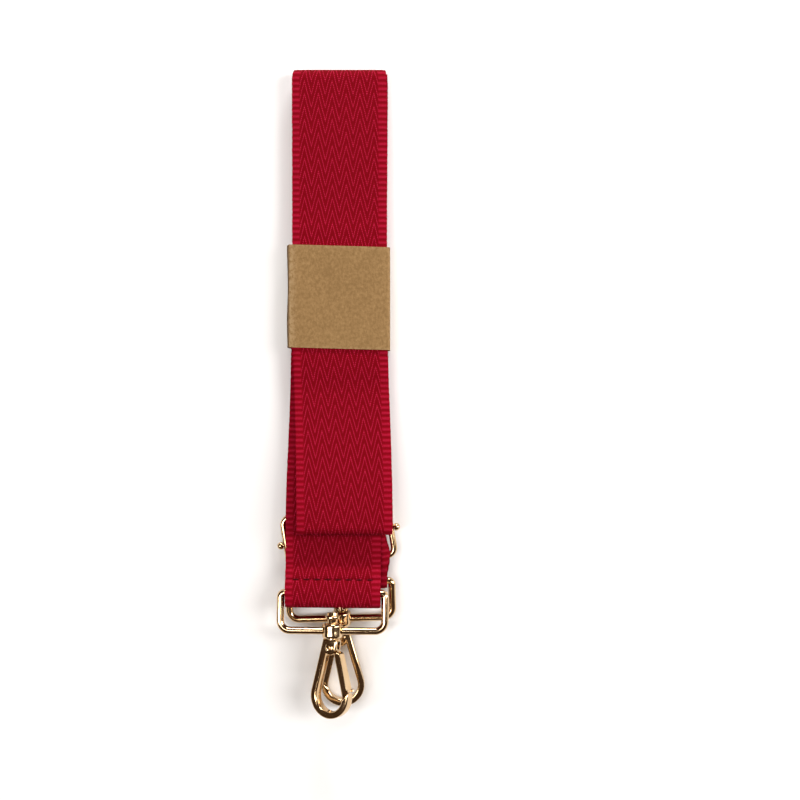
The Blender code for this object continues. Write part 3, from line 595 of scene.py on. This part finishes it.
def buildStitches(route):
    late = route[-round(strap["sewnLength"] / strap["alongStep"]):]
    topRow = min((row for row in late if row[1] > seam[1] - pitch / 2), key=lambda row: abs(row[0] - seam[0]))
    lean = math.atan2(overSliderZ - loopTop, tailEnd - frontBar[0]) / 2
    mesh = bmesh.new()
    for i in range(stitches["count"]):
        x = ends["front"]["across"] + (i + 0.5 - stitches["count"] / 2) * stitches["pitch"]
        grown = bmesh.ops.create_uvsphere(mesh, u_segments=12, v_segments=10, radius=1.0)["verts"]
        size = Matrix.Diagonal((stitches["length"] / 2, stitches["thread"] / 2, stitches["thread"] / 2, 1.0))
        level = topRow[1] + bed * strap["fill"][0] - stitches["dent"]
        level += stitches["thread"] * stitches["showing"]
        where = Matrix.Translation((x, topRow[0] + frontSlope * (x - topRow[2]), level))
        turn = Matrix.Rotation(ends["front"]["turn"], 4, "Z") @ Matrix.Rotation(lean, 4, "X")
        bmesh.ops.transform(mesh, matrix=where @ turn @ size, verts=grown)
    finishPiece("front_stitches", mesh, thread, "strap", ())


webbingRoute = buildWebbing()
buildStitches(webbingRoute)
print("webbing made")


# the card band round the stack

def roundedOutline(mesh, corners, offsets, segments):
    # a ring of edges through the corners, each rounded by a vertex bevel
    verts = [mesh.verts.new(corner) for corner in corners]
    for i, vert in enumerate(verts):
        mesh.edges.new((vert, verts[(i + 1) % len(verts)]))
    for vert, offset in zip(verts, offsets):
        bmesh.ops.bevel(mesh, geom=[vert], offset=offset, offset_type="OFFSET", segments=segments,
                        profile=0.5, affect="VERTICES", material=-1)


def buildCardSleeve():
    top = bed + 5 * pitch + bandLift + bed + strap["gap"] + card["wall"]
    shifts = [row["band"] for row in runs.values()]
    edge = halfWidth + card["sideRoom"] + card["wall"]
    left, right = min(shifts) - edge, max(shifts) + edge
    crease = runs["rearSecond"]["band"] - edge
    corners = ((left, 0, 0), (right, 0, 0), (right, 0, top), (crease, 0, top),
               (left - card["bulge"] / 2, 0, top * card["bulgeHeight"]))
    offsets = (card["corner"] * card["footCorner"], card["corner"], card["corner"],
               card["wall"] * card["creaseCorner"], card["corner"])
    mesh = bmesh.new()
    roundedOutline(mesh, corners, offsets, 5)
    bmesh.ops.translate(mesh, vec=(0, card["centreY"] - card["length"] / 2, 0), verts=mesh.verts)
    edges = list(mesh.edges)
    for i in range(card["steps"]):
        grown = bmesh.ops.extrude_edge_only(mesh, edges=edges)["geom"]
        edges = [e for e in grown if isinstance(e, bmesh.types.BMEdge)]
        ahead = [v for v in grown if isinstance(v, bmesh.types.BMVert)]
        bmesh.ops.translate(mesh, vec=(0, card["length"] / card["steps"], 0), verts=ahead)
    across = [e for e in mesh.edges if abs(e.verts[0].co.y - e.verts[1].co.y) < 1e-6]
    broad = [e for e in across if e.calc_length() > card["length"] / 10]
    bmesh.ops.subdivide_edges(mesh, edges=broad, cuts=card["cuts"], use_grid_fill=True)
    bmesh.ops.recalc_face_normals(mesh, faces=mesh.faces)
    worn = mesh.verts.layers.float.new("worn")
    sideShade = mesh.verts.layers.float.new("side")
    for vert in mesh.verts:
        x, y, z = vert.co
        along = (y - card["centreY"]) / (card["length"] / 2)
        toCrease = math.hypot(x - crease, z - top)
        toRight = math.hypot(x - right, z - top)
        vert[worn] = max(math.exp(-(toCrease / card["wornCrease"]) ** 2),
                         0.6 * math.exp(-(toRight / card["wornRight"]) ** 2),
                         0.35 * easeStep((abs(along) - card["wornEnds"]) / (1 - card["wornEnds"])))
        # painted shade on the folded-down left wall
        vert[sideShade] = 0.85 * easeStep((crease - 0.0002 - x) / card["sideEase"]) if z > 0.0004 else 0.0
        # the left wall wavers where the card was folded by hand
        if x < crease - 0.0001 and z > 0.002:
            vert.co.x += card["waver"] * math.sin(along * 4.2 + 0.6) * math.sin(math.pi * z / top)
        vert.co.y += card["slant"] * x
    finishPiece("card_sleeve", mesh, kraftCard, "strap", ("card_band",),
                thicken={"thickness": card["wall"], "offset": -1.0, "use_even_offset": True}, sharp=50)


buildCardSleeve()
print("card band made")


# round wire and turned pieces

def sweepWire(mesh, size, gapHalf=0.0):
    # a round wire from the middle of the low bar, round four corners and back to where it began
    radius, halfX = size["wire"] / 2, size["halfX"]
    face = Matrix.Translation((gapHalf, size["low"], 0)) @ Matrix.Rotation(math.pi / 2, 4, "Y")
    start = bmesh.ops.create_circle(mesh, cap_ends=bool(gapHalf), segments=size["sides"], radius=radius,
                                    matrix=face)
    rim = list({e for v in start["verts"] for e in v.link_edges})
    lowCorner, highCorner = size["lowCorner"], size["highCorner"]
    straight = size["high"] - size["low"] - lowCorner - highCorner
    moves = (
        ((halfX - lowCorner - gapHalf, 0), (halfX - lowCorner, size["low"] + lowCorner)),
        ((0, straight), (halfX - highCorner, size["high"] - highCorner)),
        ((-2 * (halfX - highCorner), 0), (highCorner - halfX, size["high"] - highCorner)),
        ((0, -straight), (lowCorner - halfX, size["low"] + lowCorner)),
    )
    for (dx, dy), centre in moves:
        grown = bmesh.ops.extrude_edge_only(mesh, edges=rim)["geom"]
        rim = [g for g in grown if isinstance(g, bmesh.types.BMEdge)]
        ahead = [g for g in grown if isinstance(g, bmesh.types.BMVert)]
        bmesh.ops.translate(mesh, vec=(dx, dy, 0), verts=ahead)
        turned = bmesh.ops.spin(mesh, geom=rim, cent=(*centre, 0), axis=(0, 0, 1), angle=math.pi / 2,
                                steps=10)
        rim = [g for g in turned["geom_last"] if isinstance(g, bmesh.types.BMEdge)]
    grown = bmesh.ops.extrude_edge_only(mesh, edges=rim)["geom"]
    last = [g for g in grown if isinstance(g, bmesh.types.BMVert)]
    bmesh.ops.translate(mesh, vec=(halfX - lowCorner - gapHalf, 0, 0), verts=last)
    if gapHalf:
        bmesh.ops.edgeloop_fill(mesh, edges=[g for g in grown if isinstance(g, bmesh.types.BMEdge)])
    bmesh.ops.remove_doubles(mesh, verts=mesh.verts, dist=1e-6)
    bmesh.ops.recalc_face_normals(mesh, faces=mesh.faces)


def turnProfile(mesh, profile, steps=40, soften=0.0, closed=False):
    # spin (radius, y) points about Y, with the inner corners softened first
    made = bmesh.new()
    verts = [made.verts.new((radius, y, 0)) for radius, y in profile]
    for here, following in zip(verts, verts[1:]):
        made.edges.new((here, following))
    if closed:
        made.edges.new((verts[-1], verts[0]))
    if soften:
        corners = verts if closed else verts[1:-1]
        bmesh.ops.bevel(made, geom=corners, offset=soften, offset_type="OFFSET", segments=3, profile=0.5,
                        affect="VERTICES", material=-1)
    bmesh.ops.spin(made, geom=list(made.verts) + list(made.edges), cent=(0, 0, 0), axis=(0, 1, 0),
                   angle=2 * math.pi, steps=steps, use_merge=True)
    bmesh.ops.remove_doubles(made, verts=made.verts, dist=1e-6)
    bmesh.ops.recalc_face_normals(made, faces=made.faces)
    data = bpy.data.meshes.new("turned")
    made.to_mesh(data)
    made.free()
    mesh.from_mesh(data)
    bpy.data.meshes.remove(data)


def axesFrame(position, across, along):
    across, along = Vector(across).normalized(), Vector(along).normalized()
    up = across.cross(along).normalized()
    return Matrix.Translation(position) @ Matrix((across, along, up)).transposed().to_4x4()


def ringFrame(end):
    pivot, swivel = joints[end + "_ring_pivot"], joints[end + "_hook_swivel"]
    return axesFrame(pivot["pos_m"], -Vector(pivot["axis"]), -Vector(swivel["axis"]))


def hookFrame(end, joint):
    swivel, hinge = joints[end + "_hook_swivel"], joints[end + "_gate_hinge"]
    along = -Vector(swivel["axis"])
    up = Vector(hinge["axis"])
    return axesFrame(joints[end + joint]["pos_m"], along.cross(up), along)


def buildSlider():
    place = Matrix.Translation((*slider["centre"], sliderZ)) @ Matrix.Rotation(slider["turn"], 4, "Z")
    halfX = halfWidth / math.cos(slider["turn"]) + slider["sideRoom"] + slider["wire"] / 2
    mesh = bmesh.new()
    sweepWire(mesh, {"wire": slider["wire"], "halfX": halfX, "low": -sliderReach, "high": sliderReach,
                     "lowCorner": slider["corner"], "highCorner": slider["corner"], "sides": 24})
    finishPiece("slider_loop", mesh, paleGold, "strap", ("slider_frame",), place)
    ball = slider["ball"] / 2
    middle = halfX + slider["wire"] / 2 + slider["ballSeat"] + ball * math.cos(slider["ballFlat"])
    turns = [mix(slider["ballFlat"], math.pi, i / 12) for i in range(13)]
    cap = [(ball * math.sin(a) if a < 3.1 else 0.0, middle - ball * math.cos(a)) for a in turns]
    half = [(slider["pin"] / 2, cap[0][1])] + cap
    mesh = bmesh.new()
    turnProfile(mesh, [(r, -y) for r, y in reversed(half)] + half, 32)
    finishPiece("slider_pin", mesh, paleGold, "strap", ("slider_bar",),
                place @ Matrix.Rotation(math.pi / 2, 4, "Z"))


def buildRing(end):
    mesh = bmesh.new()
    bore = post["diameter"] / 2 + strap["gap"]
    radius, half, soft = ring["collar"] / 2, ring["collarLength"] / 2, ring["collarEdge"]
    sweepWire(mesh, {"wire": ring["wire"], "halfX": ringWidth / 2, "low": -ring["reach"], "high": 0.0,
                     "lowCorner": ring["farCorner"], "highCorner": ring["nearCorner"],
                     "sides": ring["sides"]},
              gapHalf=(bore + radius) / 2)
    before = set(mesh.verts)
    barrel = ((bore, -half), (radius - soft / 2, -half), (radius, soft - half), (radius * 0.975, 0),
              (radius, half - soft), (radius - soft / 2, half), (bore, half))
    turnProfile(mesh, barrel, 48, 0.00022, closed=True)
    collar = [v for v in mesh.verts if v not in before]
    bmesh.ops.translate(mesh, vec=(0, -ring["reach"], 0), verts=collar)
    finishPiece(end + "_loop", mesh, paleGold, end + "_ring", (end + "_ring",), ringFrame(end))


# the snap hooks: outlines as (across, down the hook), y = 0 at the shoulders

def leanAngle():
    down = hook["length"] - bowRadius
    shoulder = hook["shoulder"] / 2
    return math.atan2(down, shoulder) - math.acos(bowRadius / math.hypot(shoulder, down))


def bowPoints(radius, start, end):
    count = max(2, math.ceil(abs(end - start) / math.radians(5)))
    turns = [mix(start, end, i / count) for i in range(count + 1)]
    return [Vector((radius * math.cos(a), hook["length"] - bowRadius + radius * math.sin(a))) for a in turns]


def limbAt(side, edgeRadius, circleRadius):
    lean = leanAngle()
    normal = Vector((side * math.cos(lean), -math.sin(lean)))
    along = Vector((side * math.sin(lean), math.cos(lean)))
    foot = Vector((0, hook["length"] - bowRadius)) + normal * edgeRadius
    centre = Vector((0, hook["rivetDrop"]))
    back, off = (centre - foot).dot(along), (centre - foot).dot(normal)
    return foot + along * (back + math.sqrt(circleRadius**2 - off**2))


def knucklePoints(radius, start, end, count=12):
    turns = [mix(start, end, i / count) for i in range(count + 1)]
    return [Vector((radius * math.cos(a), hook["rivetDrop"] + radius * math.sin(a))) for a in turns]


def turnAtRivet(point):
    return math.atan2(point.y - hook["rivetDrop"], point.x)


def hookOutline():
    lean, inner, shoulder = leanAngle(), bowRadius - hook["limb"], hook["shoulder"] / 2
    points = [Vector((-shoulder, 0))]
    points += bowPoints(bowRadius, math.pi + lean, hook["noseOuter"])
    points += bowPoints(inner, hook["noseInner"], math.pi + lean)
    points += knucklePoints(hook["knuckle"], turnAtRivet(limbAt(-1, inner, hook["knuckle"])), 0.0)
    return points + [Vector((shoulder, hook["rivetDrop"] / 3)), Vector((shoulder - hook["edge"], 0))]


def gateOutline():
    lean, inner = leanAngle(), bowRadius - hook["limb"]
    shrink = strap["gap"] / (bowRadius - hook["limb"] / 2)
    hollow = hook["knuckle"] + strap["gap"]
    edgeDistance = bowRadius - (hook["length"] - bowRadius - hook["rivetDrop"]) * math.sin(lean)
    spoke = Vector((math.cos(gate["topAngle"]), math.sin(gate["topAngle"])))
    points = [Vector((0, hook["rivetDrop"])) + spoke * edgeDistance / math.cos(gate["topAngle"] + lean)]
    points += bowPoints(bowRadius, -lean, hook["noseOuter"] - shrink * gate["noseGap"][0])
    points += bowPoints(inner, hook["noseInner"] - shrink * gate["noseGap"][1], -lean)
    return points + knucklePoints(hollow, turnAtRivet(limbAt(1, inner, hollow)), gate["topAngle"], 3)


def raisePlate(outline, thick, edge, drop=0.0):
    mesh = bmesh.new()
    face = mesh.faces.new([mesh.verts.new((-p.x, drop - p.y, -thick / 2)) for p in outline])
    grown = bmesh.ops.extrude_face_region(mesh, geom=[face])["geom"]
    raised = [g for g in grown if isinstance(g, bmesh.types.BMVert)]
    bmesh.ops.translate(mesh, vec=(0, 0, thick), verts=raised)
    bmesh.ops.recalc_face_normals(mesh, faces=mesh.faces)
    if edge:
        rims = [e for e in mesh.edges if abs(e.verts[0].co.z - e.verts[1].co.z) < thick / 2]
        bmesh.ops.bevel(mesh, geom=rims, offset=edge, segments=4, profile=0.5, affect="EDGES", material=-1)
    return mesh


def pinCutter(radius, reach):
    mesh = bmesh.new()
    bmesh.ops.create_cone(mesh, cap_ends=True, segments=32, radius1=radius, radius2=radius, depth=reach)
    return mesh


def buildHook(end):
    toRivet = Matrix.Translation((0, -hook["rivetDrop"], 0))
    slot = bmesh.new()
    left, right, down = -gate["eye"] - strap["gap"], hook["knuckle"] * 2, hook["knuckle"] + strap["gap"]
    size = Matrix.Diagonal((right - left, down - left, gate["tab"] + 2 * strap["gap"], 1.0))
    centre = Matrix.Translation((-(left + right) / 2, -(left + down) / 2, 0))
    bmesh.ops.create_cube(slot, size=1.0, matrix=toRivet @ centre @ size)
    hole = pinCutter(rivet["diameter"] / 2 + strap["gap"], hook["thick"] * 2)
    bmesh.ops.transform(hole, matrix=toRivet, verts=hole.verts)
    stem = bmesh.new()
    seat = ring["collarLength"] + 2 * strap["gap"] + post["play"]
    top = seat + post["headStep"]
    radius, head, cap = post["diameter"] / 2, post["head"] / 2, post["cap"] / 2
    tip = top + post["capStep"]
    turnProfile(stem, ((0, -post["root"]), (radius, -post["root"]), (radius, seat), (head, seat), (head, top),
                       (cap, top), (cap, tip), (0, tip)), 40, 0.00025)
    mesh = raisePlate(hookOutline(), hook["thick"], hook["edge"])
    finishPiece(end + "_snap_hook", mesh, paleGold, end + "_hook", (end + "_hook",),
                hookFrame(end, "_hook_swivel"), (("UNION", stem), ("DIFFERENCE", slot), ("DIFFERENCE", hole)))


def buildGate(end):
    root = hook["knuckle"] + hook["limb"] / 2
    rootTurn = turnAtRivet(limbAt(1, bowRadius - hook["limb"] + hook["edge"], root))
    tabPoints = knucklePoints(root, gate["topAngle"] + gate["tabStart"], rootTurn, 4)
    eyeStart, eyeEnd = gate["eyeTurns"]
    tabPoints += knucklePoints(gate["eye"], rootTurn + eyeStart, gate["topAngle"] + eyeEnd, 24)
    drop = hook["rivetDrop"]
    tab = raisePlate(tabPoints, gate["tab"], 0, drop)
    hole = pinCutter(rivet["diameter"] / 2 + strap["gap"], hook["thick"] * 2)
    mesh = raisePlate(gateOutline(), hook["thick"], hook["edge"], drop)
    finishPiece(end + "_gate_arm", mesh, paleGold, end + "_gate", (end + "_gate",),
                hookFrame(end, "_gate_hinge"), (("UNION", tab), ("DIFFERENCE", hole)))


def buildRivet(end):
    shaft, head = rivet["diameter"] / 2, rivet["head"] / 2
    face = hook["thick"] / 2 + rivet["seat"]
    # the head is peened into a raised rim round a small dot
    peened = [(head * share, face + rivet["headHeight"] * raised) for share, raised in rivet["rim"]]
    half = [(shaft, face), (head, face)] + peened
    mesh = bmesh.new()
    turnProfile(mesh, [(r, -y) for r, y in reversed(half)] + half, 36)
    finishPiece(end + "_hinge_rivet", mesh, paleGold, end + "_hook", (end + "_rivet",),
                hookFrame(end, "_gate_hinge") @ Matrix.Rotation(math.pi / 2, 4, "X"))


buildSlider()
for end in ends:
    buildRing(end)
    buildHook(end)
    buildGate(end)
    buildRivet(end)
print("hardware made")


# floor, light and camera

studio = {
    "floor": (0.96, 0.96, 0.96), "world": (0.12, 0.07, 0.04), "worldStrength": 0.5,
    "lamps": (
        {"name": "rightPanel", "at": (0.85, 0.15, 0.62), "size": (0.34, 1.00), "power": 11.4,
         "tint": (1.0, 0.98, 0.96)},
        {"name": "leftPanel", "at": (-0.45, -0.10, 0.95), "size": (0.26, 0.80), "power": 6.6,
         "tint": (1.0, 0.98, 0.96)},
        {"name": "topPanel", "at": (0.10, 0.95, 0.42), "size": (0.50, 0.20), "power": 8.5,
         "tint": (1.0, 0.98, 0.97)},
    ),
    "cameraAt": (0.0248, -0.0034, 0.475), "viewWidth": 0.320, "viewZ": 0.0093,
}


def buildStudio():
    mesh = bmesh.new()
    bmesh.ops.create_grid(mesh, x_segments=4, y_segments=4, size=3.0)
    data = bpy.data.meshes.new("floor")
    mesh.to_mesh(data)
    mesh.free()
    floor = bpy.data.objects.new("floor", data)
    bpy.context.scene.collection.objects.link(floor)
    look = newLook("paleFloor", {"Roughness": 0.95, "Specular IOR Level": 0.1,
                                 "Base Color": (*studio["floor"], 1.0)})[0]
    data.materials.append(look)
    world = bpy.data.worlds.new("studio")
    world.use_nodes = True
    sky = world.node_tree.nodes["Background"]
    sky.inputs["Color"].default_value = (*studio["world"], 1.0)
    sky.inputs["Strength"].default_value = studio["worldStrength"]
    bpy.context.scene.world = world
    for lamp in studio["lamps"]:
        light = bpy.data.lights.new(lamp["name"], "AREA")
        light.shape = "RECTANGLE"
        light.size, light.size_y = lamp["size"]
        light.energy = lamp["power"]
        light.color = lamp["tint"]
        stand = bpy.data.objects.new(lamp["name"], light)
        stand.location = lamp["at"]
        stand.rotation_euler = (-Vector(lamp["at"])).to_track_quat("-Z", "Y").to_euler()
        bpy.context.scene.collection.objects.link(stand)
    lens = bpy.data.cameras.new("camera")
    lens.sensor_width = 36.0
    lens.lens = 36.0 * (studio["cameraAt"][2] - studio["viewZ"]) / studio["viewWidth"]
    lens.clip_start = 0.01
    camera = bpy.data.objects.new("camera", lens)
    camera.location = studio["cameraAt"]
    bpy.context.scene.collection.objects.link(camera)
    bpy.context.scene.camera = camera
    bpy.context.scene.view_settings.view_transform = "Standard"


buildStudio()
print("studio made")
